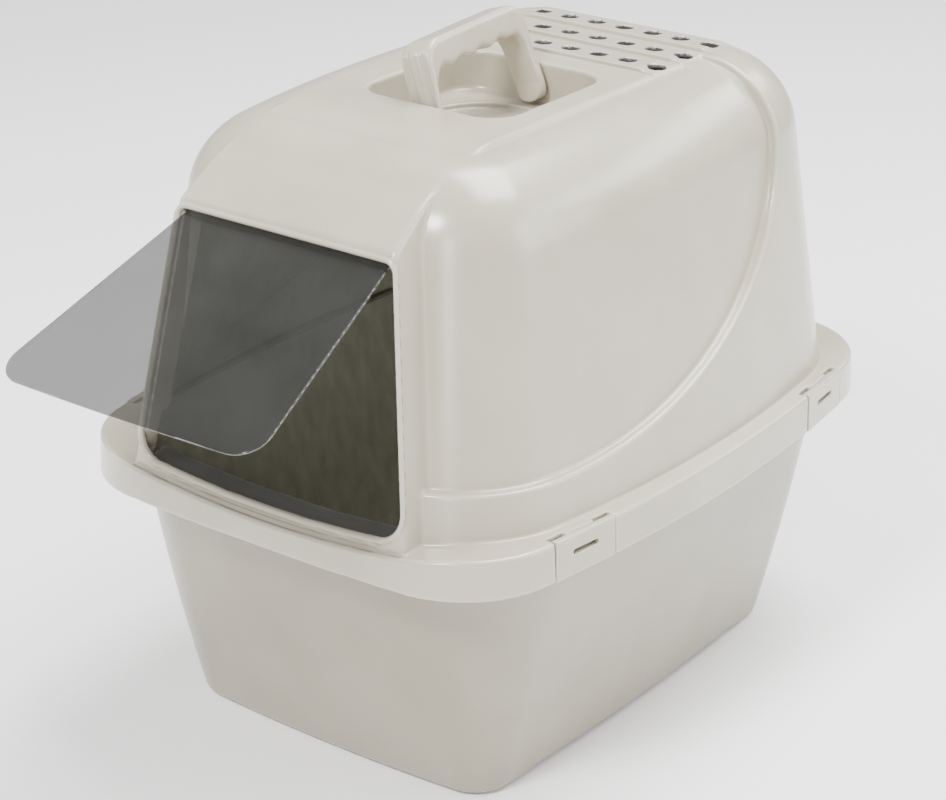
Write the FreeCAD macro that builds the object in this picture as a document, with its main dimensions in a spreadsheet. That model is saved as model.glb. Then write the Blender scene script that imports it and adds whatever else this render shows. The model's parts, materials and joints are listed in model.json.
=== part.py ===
import FreeCAD, Part
import math
import os
import Sketcher

V = FreeCAD.Vector

# Frame: origin at the centre of the pan's underside, on the floor.
# +Z up, the doorway faces -Y, +X is the right-hand side seen from the doorway.

doc = FreeCAD.newDocument("hooded_litter_box")


# ---------------------------------------------------------------- dimensions

DIMENSIONS = {
    # litter pan
    "pan_floor_width": 268.0,
    "pan_floor_length": 359.0,
    "pan_floor_corner": 27.0,
    "pan_lip_width": 352.0,
    "pan_lip_length": 443.0,
    "pan_lip_corner": 78.0,
    "pan_wall": 2.6,
    "pan_foot_height": 3.0,
    "pan_rim_height": 201.8,
    "pan_flange_width": 380.0,
    "pan_flange_length": 483.0,
    "pan_flange_corner": 68.0,
    "pan_floor_round": 7.0,
    "pan_foot_reach": 56.0,
    # hood: skirt and shelf
    "hood_width": 389.0,
    "hood_length": 492.0,
    "skirt_corner": 72.0,
    "skirt_bottom": 178.0,
    "shelf_height": 205.0,
    "front_dip": 9.0,
    "front_dip_width": 290.0,
    # hood: walls and top
    "wall": 2.6,
    "foot_width": 362.0,
    "foot_length": 454.0,
    "foot_corner": 88.0,
    "top_height": 425.0,
    "top_width": 292.0,
    "top_front": 190.0,
    "top_rear": 211.0,
    "top_corner": 72.0,
    "top_round": 48.0,
    "panel_inset": 7.0,
    "panel_drop": 2.0,
    "panel_line_height": 234.0,
    "panel_line_rear": 133.0,
    "panel_line_front": -144.0,
    "panel_line_top": 390.0,
    # hood: entry bay and doorway
    "bay_foot_front": 236.0,
    "bay_tilt": 8.3,
    "bay_foot_half": 113.0,
    "bay_narrowing": 8.2,
    "bay_header": 383.0,
    "bay_roof_rear": 156.0,
    "bay_roof_top": 420.0,
    "bay_round": 9.0,
    "door_top": 377.6,
    "door_sill": 209.5,
    "door_top_half": 86.0,
    "door_sill_half": 110.0,
    "door_top_round": 5.0,
    "door_sill_round": 20.0,
    # entry door
    "flap_length": 168.0,
    "flap_top_half": 82.0,
    "flap_bottom_half": 106.0,
    "flap_thick": 1.8,
    "flap_round": 22.0,
    "flap_open_deg": 58.5,
    "door_lug_length": 4.6,
    "door_lug_radius": 4.6,
    "door_pin_y": -206.5,
    "door_pin_z": 374.6,
    "door_pin_diameter": 4.0,
    # handle and its recess
    "recess_half_x": 59.0,
    "recess_front": -68.0,
    "recess_rear": 50.0,
    "recess_round": 22.0,
    "recess_depth": 28.0,
    "dish_radius": 46.0,
    "dish_depth": 31.0,
    "handle_pivot_z": 412.0,
    "handle_tilt_deg": 18.0,
    "handle_rise": 51.0,
    "handle_width": 26.0,
    "grip_thick": 15.0,
    "leg_thick": 9.0,
    "leg_drop": 13.0,
    "handle_corner": 22.0,
    "handle_pin_diameter": 5.0,
    # vent
    "vent_half_x": 92.0,
    "vent_front": 72.0,
    "vent_rear": 172.0,
    "vent_rise": 1.6,
    "vent_pitch_x": 23.6,
    "vent_pitch_y": 32.7,
    "vent_row_first": 92.1,
    "vent_hole": 12.6,
    # snap latches
    "latch_y": 145.0,
    "latch_length": 54.0,
    "latch_reach": 5.6,
    "latch_gap": 0.6,
    "latch_window": 23.0,
    # filter
    "filter_width": 150.0,
    "filter_length": 84.0,
    "filter_thick": 7.0,
    "filter_front": 84.0,
    "cover_bottom": 409.0,
    "cover_floor": 2.4,
    "cover_wall": 2.0,
    "cover_pin_diameter": 3.0,
    "cover_pin_y": 78.5,
    "ear_inner_x": 62.0,
    "running_gap": 0.5,
}


def write_sheet():
    """Put every driving dimension in the spreadsheet under its own alias."""
    sheet = doc.addObject("Spreadsheet::Sheet", "Dimensions")
    for row, (alias, value) in enumerate(DIMENSIONS.items(), start=1):
        sheet.set(f"A{row}", alias)
        sheet.set(f"B{row}", str(value))
        sheet.setAlias(f"B{row}", alias)
    doc.recompute()
    return sheet


SHEET = write_sheet()


def dim(alias):
    """Read one driving dimension back from the spreadsheet."""
    return float(SHEET.get(alias))


# ------------------------------------------------------------ shared geometry

# Half the angles that a long side's arc and an end's arc turn through.
HOOD_BOW = math.radians(9.0), math.radians(3.8)
TUB_BOW = math.radians(4.2), math.radians(4.2)


def outline(half_width, half_length, corner, height, centre_y=0.0, bow=HOOD_BOW):
    """Closed rounded rectangle with bowed sides: eight tangent arcs in a level plane.

    The outlines of one loft turn through the same angles, so the ruled faces
    between them have smooth joins all the way round.
    """
    side_bow, end_bow = bow
    cs, ss = math.cos(side_bow), math.sin(side_bow)
    ce, se = math.cos(end_bow), math.sin(end_bow)
    width_left = half_width - corner * (cs - se)
    length_left = half_length + corner * (ss - ce)
    det = (1 - cs) * (1 - ce) - se * ss
    side_radius = (width_left * (1 - ce) - se * length_left) / det
    end_radius = ((1 - cs) * length_left - ss * width_left) / det
    corner_x = half_width - side_radius + (side_radius - corner) * cs
    corner_y = (side_radius - corner) * ss

    arcs = []

    def arc(cx, cy, radius, start, end):
        points = []
        for angle in (start, (start + end) / 2, end):
            points.append(V(cx + radius * math.cos(angle), centre_y + cy + radius * math.sin(angle), height))
        arcs.append(Part.Arc(*points).toShape())

    quarter = math.pi / 2
    side_x, end_y = half_width - side_radius, half_length - end_radius
    arc(side_x, 0, side_radius, -side_bow, side_bow)
    arc(corner_x, corner_y, corner, side_bow, quarter - end_bow)
    arc(0, end_y, end_radius, quarter - end_bow, quarter + end_bow)
    arc(-corner_x, corner_y, corner, quarter + end_bow, 2 * quarter - side_bow)
    arc(-side_x, 0, side_radius, 2 * quarter - side_bow, 2 * quarter + side_bow)
    arc(-corner_x, -corner_y, corner, 2 * quarter + side_bow, 3 * quarter - end_bow)
    arc(0, -end_y, end_radius, 3 * quarter - end_bow, 3 * quarter + end_bow)
    arc(corner_x, -corner_y, corner, 3 * quarter + end_bow, 4 * quarter - side_bow)
    return Part.Wire(arcs)


def tapered(lower, upper):
    """Solid between two outlines."""
    return Part.makeLoft([lower, upper], True, True)


def prism(points, direction):
    """Solid made by pushing a flat polygon along a vector."""
    wire = Part.makePolygon([V(*p) for p in points] + [V(*points[0])])
    return Part.Face(wire).extrude(V(*direction))


def box(x0, x1, y0, y1, z0, z1):
    return Part.makeBox(x1 - x0, y1 - y0, z1 - z0, V(x0, y0, z0))


def solid_of(shape, label):
    """The one solid in a boolean's result, cleaned of needless seams."""
    shape = shape.removeSplitter()
    if len(shape.Solids) != 1:
        volumes = [round(s.Volume) for s in shape.Solids]
        raise ValueError(f"{label} is {len(shape.Solids)} solids: {volumes}")
    return shape.Solids[0]


def feature(label, shape):
    """Document object for a piece whose shape is worked out above."""
    piece = doc.addObject("Part::Feature", label)
    piece.Label = label
    piece.Shape = solid_of(shape, label)
    return piece


def dip_cutter(level):
    """Space above the dipped front rim: its floor is an arc that sags at the centre."""
    half, drop = dim("front_dip_width") / 2, dim("front_dip")
    left, right = V(-half, 0, level), V(half, 0, level)
    sag = Part.Arc(left, V(0, 0, level - drop), right).toShape()
    roof = [left, V(-half, 0, level + 40), V(half, 0, level + 40), right]
    lid = Part.makePolygon(roof)
    face = Part.Face(Part.Wire([sag] + lid.Edges))
    face.translate(V(0, -280, 0))
    return face.extrude(V(0, 110, 0))


# --------------------------------------------------------------- litter pan

def build_litter_pan():
    """Open tapered tub with a turned-out rim, on a base that is relieved between its corners."""
    wall, rim = dim("pan_wall"), dim("pan_rim_height")
    floor_w, floor_l = dim("pan_floor_width") / 2, dim("pan_floor_length") / 2
    lip_w, lip_l = dim("pan_lip_width") / 2, dim("pan_lip_length") / 2
    flange_w, flange_l = dim("pan_flange_width") / 2, dim("pan_flange_length") / 2
    floor_corner, lip_corner = dim("pan_floor_corner"), dim("pan_lip_corner")

    def tub_outline(half_width, half_length, corner, height):
        return outline(half_width, half_length, corner, height, bow=TUB_BOW)

    tub = tapered(tub_outline(floor_w, floor_l, floor_corner, 0), tub_outline(lip_w, lip_l, lip_corner, rim))
    tub = tub.makeFillet(dim("pan_floor_round"), [e for e in tub.Edges if e.BoundBox.ZMax < 0.1])

    lean = (lip_w - floor_w) / rim
    inner_floor = floor_w - wall + lean * wall, floor_l - wall + lean * wall
    hollow = tapered(
        tub_outline(inner_floor[0], inner_floor[1], floor_corner - wall, wall),
        tub_outline(lip_w - wall + lean, lip_l - wall + lean, lip_corner - wall, rim + lean * 3),
    )

    # turned-out rim, with a short upstand hanging down at its edge
    flange_drop, flange_thick = 14.0, 2.6
    flange_corner = dim("pan_flange_corner")
    under_corner = flange_corner - 2.0
    rim_block = tapered(
        outline(flange_w - 1, flange_l - 1, flange_corner, rim - flange_drop),
        outline(flange_w, flange_l, flange_corner, rim),
    )
    under_rim = tapered(
        outline(flange_w - 1 - wall, flange_l - 1 - wall, under_corner, rim - flange_drop - 1),
        outline(flange_w - wall, flange_l - wall, under_corner, rim - flange_thick),
    )
    rim_block = rim_block.cut(dip_cutter(rim))
    under_rim = under_rim.cut(dip_cutter(rim - flange_thick))
    tub = tub.cut(dip_cutter(rim))
    pan = tub.fuse(rim_block.cut(under_rim)).cut(hollow)

    # the base is raised a little between its four corner feet
    foot, relief = dim("pan_foot_reach"), dim("pan_foot_height")
    side_slot = box(-300, 300, -floor_l + foot, floor_l - foot, -5, relief * 0.4)
    slab = box(-floor_w + foot, floor_w - foot, -floor_l + foot, floor_l - foot, -1, relief * 0.4)
    pan = pan.cut(side_slot.cut(slab))

    # catch lugs on the rim's edge, one under each snap latch
    for side, end in CORNERS:
        lug = box(-1.5, 1.0, -9, 9, rim - 10, rim - 6)
        lug.Placement = beside_rim(flange_w, flange_l, flange_corner, side, end)
        pan = pan.fuse(lug)
    return feature("litter_pan", pan)


CORNERS = [(1, -1), (1, 1), (-1, -1), (-1, 1)]      # (right or left, front or rear)


def beside_rim(half_width, half_length, corner, side, end):
    """Placement at a latch's spot on an outline: local X points outwards, local Z up."""
    y = end * dim("latch_y")
    ring = outline(half_width, half_length, corner, 0)
    probe = Part.makeLine(V(0, y, 0), V(half_width + 50, y, 0))
    x = ring.distToShape(probe)[1][0][0].x
    step = 4.0
    ahead = Part.makeLine(V(0, y + step, 0), V(half_width + 50, y + step, 0))
    turn = math.degrees(math.atan2(x - ring.distToShape(ahead)[1][0][0].x, step))
    if side > 0:
        return FreeCAD.Placement(V(x, y, 0), FreeCAD.Rotation(V(0, 0, 1), turn))
    return FreeCAD.Placement(V(-x, y, 0), FreeCAD.Rotation(V(0, 0, 1), 180 - turn))


# --------------------------------------------------------------------- hood

def hood_body(inset, offset, foot_z):
    """Tapered body with a rounded top edge: inset for the side panels, offset for the inner face."""
    top_z = dim("top_height") - offset - (dim("panel_drop") if inset else 0.0)
    front, rear = dim("top_front"), dim("top_rear")
    foot = [dim("foot_width") / 2, dim("foot_length") / 2, dim("foot_corner")]
    head = [dim("top_width") / 2, (front + rear) / 2, dim("top_corner")]
    foot = [size - offset - inset for size in foot]
    head = [size - offset - inset for size in head]
    centre = (rear - front) / 2
    # outlines are given at the shelf and at the top; run the walls on down to foot_z
    share = (foot_z - dim("shelf_height")) / (top_z - dim("shelf_height"))
    foot = [f + (g - f) * share for f, g in zip(foot, head)]
    body = tapered(outline(*foot, foot_z, centre * share), outline(*head, top_z, centre))
    top_edges = [e for e in body.Edges if e.BoundBox.ZMin > top_z - 0.1]
    return body.makeFillet(dim("top_round") - offset, top_edges)


def rear_region(shift):
    """Everything behind and below the curved line that divides a side from its inset panel."""
    front, low = dim("panel_line_front"), dim("panel_line_height") - shift
    rear, high = dim("panel_line_rear") + shift, dim("panel_line_top")
    outside = Part.makePolygon([
        V(0, rear, high), V(0, rear, 500), V(0, 300, 500), V(0, 300, 100), V(0, -300, 100),
        V(0, -300, low), V(0, front, low),
    ])
    face = Part.Face(Part.Wire([ellipse_quarter(front, low, rear, high)] + outside.Edges))
    face.translate(V(-300, 0, 0))
    return face.extrude(V(600, 0, 0))


def ellipse_quarter(front, low, rear, high):
    """Quarter of an ellipse from (front, low), level, to (rear, high), upright."""
    centre = V(0, front, high)
    ellipse = Part.Ellipse(centre + V(0, rear - front, 0), centre - V(0, 0, high - low), centre)
    start = ellipse.parameter(V(0, rear, high))
    end = ellipse.parameter(V(0, front, low))
    if end < start:
        start, end = end, start
    if end - start > math.pi:
        start, end = end, start + 2 * math.pi
    return Part.Edge(ellipse, start, end)


def entry_bay(offset, foot_z):
    """Bay that carries the doorway: an upright wedge with a sloping roof."""
    tilt = math.tan(math.radians(dim("bay_tilt")))
    shelf = dim("shelf_height")

    def front_y(z):
        return -dim("bay_foot_front") + (z - shelf) * tilt + offset

    header = dim("bay_header") - 0.6 * offset
    roof_z, roof_y = dim("bay_roof_top") - offset, -dim("bay_roof_rear")
    side_profile = [
        (-200, front_y(foot_z), foot_z), (-200, front_y(header), header), (-200, roof_y, roof_z),
        (-200, -60, roof_z), (-200, -60, foot_z),
    ]
    slope = math.tan(math.radians(dim("bay_narrowing")))

    def side_x(z):
        return dim("bay_foot_half") - (z - shelf) * slope - offset

    top = 440.0
    front_profile = [
        (-side_x(foot_z), -300, foot_z), (side_x(foot_z), -300, foot_z),
        (side_x(top), -300, top), (-side_x(top), -300, top),
    ]
    wedge = prism(side_profile, (400, 0, 0)).common(prism(front_profile, (0, 300, 0)))
    upright = [e for e in wedge.Edges if e.BoundBox.ZLength > 100 and e.BoundBox.YMax < -180]
    return wedge.makeFillet(dim("bay_round") - offset, upright)


def doorway_cutter():
    """Rounded, slightly tapered opening; its sill sags with the rim below it."""
    low, high = dim("door_sill"), dim("door_top")
    wide, narrow = dim("door_sill_half"), dim("door_top_half")
    sag = dim("front_dip") * 0.8
    sill = Part.Arc(V(-wide, 0, low), V(0, 0, low - sag), V(wide, 0, low)).toShape()
    rest = Part.makePolygon([V(wide, 0, low), V(narrow, 0, high), V(-narrow, 0, high), V(-wide, 0, low)])
    face = Part.Face(Part.Wire([sill] + rest.Edges))
    face.translate(V(0, -290, 0))
    block = face.extrude(V(0, 130, 0))
    along = [e for e in block.Edges if e.BoundBox.YLength > 120]
    block = block.makeFillet(dim("door_sill_round"), [e for e in along if e.BoundBox.ZMin < high - 1])
    along = [e for e in block.Edges if e.BoundBox.YLength > 120 and e.BoundBox.ZMin > high - 1]
    sharp = [e for e in along if abs(abs(e.BoundBox.XMax) - narrow) < 0.5]
    return block.makeFillet(dim("door_top_round"), sharp)


def recess(grow):
    """Handle recess: a rounded pocket with a round dish in its floor."""
    half, front, rear = dim("recess_half_x") + grow, dim("recess_front") - grow, dim("recess_rear") + grow
    floor = dim("top_height") - dim("recess_depth") - grow
    pocket = box(-half, half, front, rear, floor, 440)
    corners = [e for e in pocket.Edges if e.BoundBox.ZLength > 15]
    pocket = pocket.makeFillet(dim("recess_round") + grow, corners)
    depth = dim("dish_depth") + grow
    middle = (dim("recess_front") + dim("recess_rear")) / 2
    dish = Part.makeCone(
        dim("dish_radius") + grow - 4, dim("dish_radius") + grow, 440 - dim("top_height") + depth,
        V(0, middle, dim("top_height") - depth),
    )
    return pocket.fuse(dish)


def vent_block(offset):
    """Raised three-step block that carries the vent holes."""
    top = dim("top_height") + dim("vent_rise") - offset
    half, front, rear = dim("vent_half_x") - offset, dim("vent_front") + offset, dim("vent_rear") - offset
    return box(-half, half, front, rear, top - 14, top)


def vent_places():
    """Centres of the vent holes: three rows of seven."""
    for row in range(3):
        for column in range(-3, 4):
            yield column * dim("vent_pitch_x"), dim("vent_row_first") + row * dim("vent_pitch_y")


def latch_spot(side, end):
    """Placement of a snap latch: origin on the skirt's outer face, local X outwards."""
    return beside_rim(dim("hood_width") / 2, dim("hood_length") / 2, dim("skirt_corner"), side, end)


def latch_cutout(side, end):
    """Opening in shelf and skirt that a snap latch fills, with a running gap all round."""
    gap = dim("latch_gap")
    half = dim("latch_length") / 2 + gap
    block = box(-dim("latch_reach") - gap, 20, -half, half, dim("skirt_bottom") - 5, 210)
    block.Placement = latch_spot(side, end)
    return block


def door_lug(side):
    """Boss beside the doorway's top corner, bored for the door's pin."""
    y, z = dim("door_pin_y"), dim("door_pin_z")
    inner, length = dim("flap_top_half") + 3 * dim("running_gap"), dim("door_lug_length")
    lug = Part.makeCylinder(dim("door_lug_radius"), length, V(inner, y, z), V(1, 0, 0))
    block = box(inner, inner + length, y - 3, y + 10, z - 2, z + 7)
    lug = lug.fuse(block)
    return lug if side > 0 else lug.mirror(V(0, 0, 0), V(1, 0, 0))


def build_hood_shell():
    """One-piece hood: skirt, shelf, body, entry bay, handle recess and vent."""
    wall, shelf = dim("wall"), dim("shelf_height")
    low = shelf - 16
    width, length, corner = dim("hood_width") / 2, dim("hood_length") / 2, dim("skirt_corner")

    def skirt(offset, z0, z1):
        flare = 0.9 * (z1 - z0) / 27.0
        block = tapered(
            outline(width - offset, length - offset, corner - offset, z0),
            outline(width - offset - flare, length - offset - flare, corner - offset, z1),
        )
        return block.cut(dip_cutter(z1))

    rear_part = rear_region(0.0)
    outer_skin = hood_body(dim("panel_inset"), 0.0, low).fuse(hood_body(0.0, 0.0, low).common(rear_part))
    outer = skirt(0.0, dim("skirt_bottom"), shelf).fuse([outer_skin, entry_bay(0.0, low), vent_block(0.0)])

    rear_part_inside = rear_region(wall)
    inner_skin = hood_body(dim("panel_inset"), wall, low - 20)
    inner_rear = hood_body(0.0, wall, low - 20).common(rear_part_inside)
    vent_space = vent_block(wall)
    inner = skirt(wall, dim("skirt_bottom") - 8, shelf - wall)
    inner = inner.fuse([inner_skin.fuse(inner_rear), entry_bay(wall, low - 20), vent_space])
    inner = inner.cut(recess(wall))

    hood = outer.cut(recess(0.0)).cut(inner)
    hood = hood.cut(doorway_cutter())
    for x, y in vent_places():
        hood = hood.cut(Part.makeCylinder(dim("vent_hole") / 2, 40, V(x, y, 405)))
    groove_depth = 2.0
    for row in range(3):
        y = dim("vent_row_first") + (row - 0.5) * dim("vent_pitch_y")
        top = dim("top_height") + dim("vent_rise")
        half = dim("vent_half_x") - 8
        hood = hood.cut(box(-half, half, y - 2, y + 2, top - groove_depth, top + 5))
    for side, end in CORNERS:
        hood = hood.cut(latch_cutout(side, end))
    for side in (1, -1):
        hood = hood.fuse([door_lug(side), filter_ear(side), filter_catch(side)])
    hood = hood.cut(door_pin_bore()).cut(filter_pin_bore())
    for y in (dim("recess_front"), dim("recess_rear")):
        hood = hood.cut(handle_pin_bore(y))
    return feature("hood_shell", hood)


def door_pin_bore():
    """Bearing holes for the door's two pins, in the lugs beside the doorway."""
    radius = dim("door_pin_diameter") / 2 + 0.05
    reach = dim("flap_top_half") + 6.0
    return Part.makeCylinder(radius, 2 * reach, V(-reach, dim("door_pin_y"), dim("door_pin_z")), V(1, 0, 0))


def handle_pin_bore(y):
    """Bearing hole through a recess end wall for one of the handle's pins."""
    radius = dim("handle_pin_diameter") / 2 + 0.05
    return Part.makeCylinder(radius, 12, V(0, y - 6, dim("handle_pivot_z")), V(0, 1, 0))


def filter_ear(side):
    """Ear that hangs from the roof and carries one end of the filter cover's hinge."""
    inner, top = dim("ear_inner_x"), dim("top_height") - 0.5
    y, low = dim("cover_pin_y"), dim("cover_bottom") - 0.6
    ear = box(inner, inner + 5, y - 3, y + 2, low, top)
    return ear if side > 0 else ear.mirror(V(0, 0, 0), V(1, 0, 0))


def filter_catch(side):
    """Sprung post behind the filter cover, on which its rear edge clicks."""
    y = cover_rear() + 0.4
    post = box(24, 34, y, y + 2.2, dim("cover_bottom") - 1.0, dim("top_height") - 0.5)
    return post if side > 0 else post.mirror(V(0, 0, 0), V(1, 0, 0))


def cover_rear():
    return dim("filter_front") + dim("filter_length") + dim("cover_wall") + 1.0


def filter_pin_bore():
    """Bearing holes for the filter cover's hinge pins, in both ears."""
    radius = dim("cover_pin_diameter") / 2 + 0.05
    reach = dim("ear_inner_x") + 3.5
    z = dim("cover_bottom") + dim("cover_pin_diameter") / 2
    return Part.makeCylinder(radius, 2 * reach, V(-reach, dim("cover_pin_y"), z), V(1, 0, 0))


# -------------------------------------------------------- PartDesign helpers

def new_body(label, placement=None):
    body = doc.addObject("PartDesign::Body", label)
    body.Label = label
    if placement is not None:
        body.Placement = placement
    return body


def new_sketch(body, name, role):
    """Sketch on one of the body's own origin planes."""
    sketch = body.newObject("Sketcher::SketchObject", name)
    plane = [f for f in body.Origin.OriginFeatures if f.Role == role][0]
    sketch.AttachmentSupport = (plane, "")
    sketch.MapMode = "FlatFace"
    return sketch


def draw_loop(sketch, points):
    """Closed polygon whose corners are joined, and fixed by named distances from the origin.

    Each coordinate is an expression over the spreadsheet, so the sketch follows it.
    """
    values = [[evaluate(sketch, text) for text in point] for point in points]
    first = sketch.GeometryCount
    count = len(points)
    for i in range(count):
        start, end = values[i], values[(i + 1) % count]
        sketch.addGeometry(Part.LineSegment(V(start[0], start[1], 0), V(end[0], end[1], 0)), False)
    for i in range(count):
        here, after = first + i, first + (i + 1) % count
        sketch.addConstraint(Sketcher.Constraint("Coincident", here, 2, after, 1))
    for i, point in enumerate(points):
        for kind, text, value in zip(("DistanceX", "DistanceY"), point, values[i]):
            index = sketch.addConstraint(Sketcher.Constraint(kind, -1, 1, first + i, 1, value))
            name = f"{kind}_{first + i}"
            sketch.renameConstraint(index, name)
            sketch.setExpression(f"Constraints.{name}", as_lengths(text))


def evaluate(owner, text):
    return float(owner.evalExpression(as_lengths(text)))


def as_lengths(text):
    """Turn words that are aliases into references to the spreadsheet."""
    words = text.replace("(", " ( ").replace(")", " ) ").split()
    return " ".join(f"Dimensions.{word}" if word in DIMENSIONS else word for word in words)


def pad(body, sketch, name, length, midplane=True):
    feature_ = body.newObject("PartDesign::Pad", name)
    feature_.Profile = sketch
    feature_.Midplane = midplane
    feature_.setExpression("Length", as_lengths(length))
    doc.recompute()
    return feature_


def pocket_through(body, sketch, name):
    """Cut a sketch through the whole body, and make sure that something was removed."""
    before = body.Shape.Volume
    cut = body.newObject("PartDesign::Pocket", name)
    cut.Profile = sketch
    cut.Type = 1
    cut.Midplane = True
    doc.recompute()
    if body.Shape.Volume > before - 0.5:
        raise ValueError(f"{name} cut nothing")
    return cut


def round_edges(body, name, radius, wanted):
    """Fillet the edges of the body's tip for which wanted(edge) is true."""
    tip = body.Tip
    names = [f"Edge{i}" for i, edge in enumerate(tip.Shape.Edges, start=1) if wanted(edge)]
    fillet = body.newObject("PartDesign::Fillet", name)
    fillet.Base = (tip, names)
    fillet.setExpression("Radius", as_lengths(radius))
    doc.recompute()
    return fillet


def add_pin(body, name, diameter, length, base, axis):
    """Round pin added to a body: base and axis in the body's own frame."""
    pin = body.newObject("PartDesign::AdditiveCylinder", name)
    pin.setExpression("Radius", as_lengths(f"{diameter} / 2"))
    pin.setExpression("Height", as_lengths(length))
    pin.Placement = FreeCAD.Placement(V(*base), FreeCAD.Rotation(V(0, 0, 1), V(*axis)))
    doc.recompute()
    return pin


# --------------------------------------------------------------- entry door

def build_entry_door():
    """Clear swinging flap: a tapered sheet that hangs from a thin bar with a pin at each end."""
    swing = -(dim("bay_tilt") + dim("flap_open_deg"))
    place = FreeCAD.Placement(
        V(0, dim("door_pin_y"), dim("door_pin_z")), FreeCAD.Rotation(V(1, 0, 0), swing)
    )
    body = new_body("entry_door", place)
    sheet = new_sketch(body, "flap_outline", "XZ_Plane")
    draw_loop(sheet, [
        ("flap_top_half", "0"), ("flap_bottom_half", "-1 * flap_length"),
        ("-1 * flap_bottom_half", "-1 * flap_length"), ("-1 * flap_top_half", "0"),
    ])
    pad(body, sheet, "flap", "flap_thick")
    low = -dim("flap_length") + 0.1
    round_edges(
        body, "flap_corners", "flap_round",
        lambda e: e.BoundBox.YLength > 1 and e.BoundBox.XLength < 0.1 and e.BoundBox.ZMax < low,
    )
    reach = dim("flap_top_half") + 5.0
    add_pin(body, "hinge_bar", "door_pin_diameter", "2 * (flap_top_half + 5)", (-reach, 0, 0), (1, 0, 0))
    return body


# ------------------------------------------------------------- carry handle

def build_carry_handle():
    """Bail handle: a grip on two legs, with a pin on the outside of each leg."""
    front, rear = dim("recess_front") + 1.2, dim("recess_rear") - 1.2
    place = FreeCAD.Placement(
        V(0, 0, dim("handle_pivot_z")), FreeCAD.Rotation(V(0, 1, 0), -dim("handle_tilt_deg"))
    )
    body = new_body("carry_handle", place)
    bail = new_sketch(body, "bail_side", "YZ_Plane")
    draw_loop(bail, [
        ("recess_front + 1.2", "-1 * leg_drop"), ("recess_front + 1.2", "handle_rise"),
        ("recess_rear - 9", "handle_rise"), ("recess_rear - 1.2", "-1 * leg_drop"),
        ("recess_rear - 1.2 - leg_thick", "-1 * leg_drop"),
        ("recess_rear - 7 - leg_thick", "handle_rise - grip_thick"),
        ("recess_front + 1.2 + leg_thick", "handle_rise - grip_thick"),
        ("recess_front + 1.2 + leg_thick", "-1 * leg_drop"),
    ])
    pad(body, bail, "bail", "handle_width")
    top, under = dim("handle_rise"), dim("handle_rise") - dim("grip_thick")

    def is_leg_end(edge):
        box_ = edge.BoundBox
        level = abs(box_.ZMin + dim("leg_drop")) < 0.1 and box_.ZLength < 0.1
        return level and box_.YLength > 5 and box_.XLength < 0.1

    def crosses_at(edge, height):
        box_ = edge.BoundBox
        return box_.XLength > 10 and abs(box_.ZMin - height) < 0.1 and box_.ZLength < 0.1

    round_edges(body, "outer_bends", "handle_corner", lambda e: crosses_at(e, top))
    round_edges(body, "inner_bends", "handle_corner - 14", lambda e: crosses_at(e, under))
    round_edges(body, "leg_ends", "handle_width / 2 - 0.5", is_leg_end)
    round_edges(body, "soft_edges", "3", lambda e: e.BoundBox.XLength < 0.1 and e.BoundBox.ZMax > 0)
    add_pin(body, "front_pin", "handle_pin_diameter", "6", (0, front - 4.5, 0), (0, 1, 0))
    add_pin(body, "rear_pin", "handle_pin_diameter", "6", (0, rear - 1.5, 0), (0, 1, 0))
    return body


# ------------------------------------------------------------- snap latches

def build_snap_latch(side, end):
    """L-shaped tab on a thin fold line, with a finger slot and a catch rib inside."""
    label = f"snap_latch_{'front' if end < 0 else 'rear'}_{'right' if side > 0 else 'left'}"
    body = new_body(label, latch_spot(side, end))
    profile = new_sketch(body, label + "_profile", "XZ_Plane")
    draw_loop(profile, [
        ("-1 * latch_reach", "shelf_height"), ("-0.9", "shelf_height"), ("0", "skirt_bottom"),
        ("-1 * wall", "skirt_bottom"), ("-1 * wall - 0.9", "shelf_height - wall"),
        ("-1 * latch_reach", "shelf_height - wall"),
    ])
    pad(body, profile, label + "_tab", "latch_length")
    slot = new_sketch(body, label + "_slot", "YZ_Plane")
    draw_loop(slot, [
        ("-1 * latch_window / 2", "shelf_height - 13"), ("latch_window / 2", "shelf_height - 13"),
        ("latch_window / 2", "shelf_height - 10"), ("-1 * latch_window / 2", "shelf_height - 10"),
    ])
    pocket_through(body, slot, label + "_window")
    return body


# ------------------------------------------------------------ odour filter

def build_filter_pad():
    """Carbon filter pad that lies in the cover under the vent."""
    block = doc.addObject("Part::Box", "filter_block")
    block.setExpression("Length", "Dimensions.filter_width")
    block.setExpression("Width", "Dimensions.filter_length")
    block.setExpression("Height", "Dimensions.filter_thick")
    z = dim("cover_bottom") + dim("cover_floor")
    block.Placement.Base = V(-dim("filter_width") / 2, dim("filter_front"), z)
    doc.recompute()
    pad_ = doc.addObject("Part::Fillet", "filter_pad")
    pad_.Base = block
    upright = [i for i, e in enumerate(block.Shape.Edges, start=1) if e.BoundBox.ZLength > 1]
    pad_.Edges = [(i, 6.0, 6.0) for i in upright]
    pad_.Label = "filter_pad"
    return pad_


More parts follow.
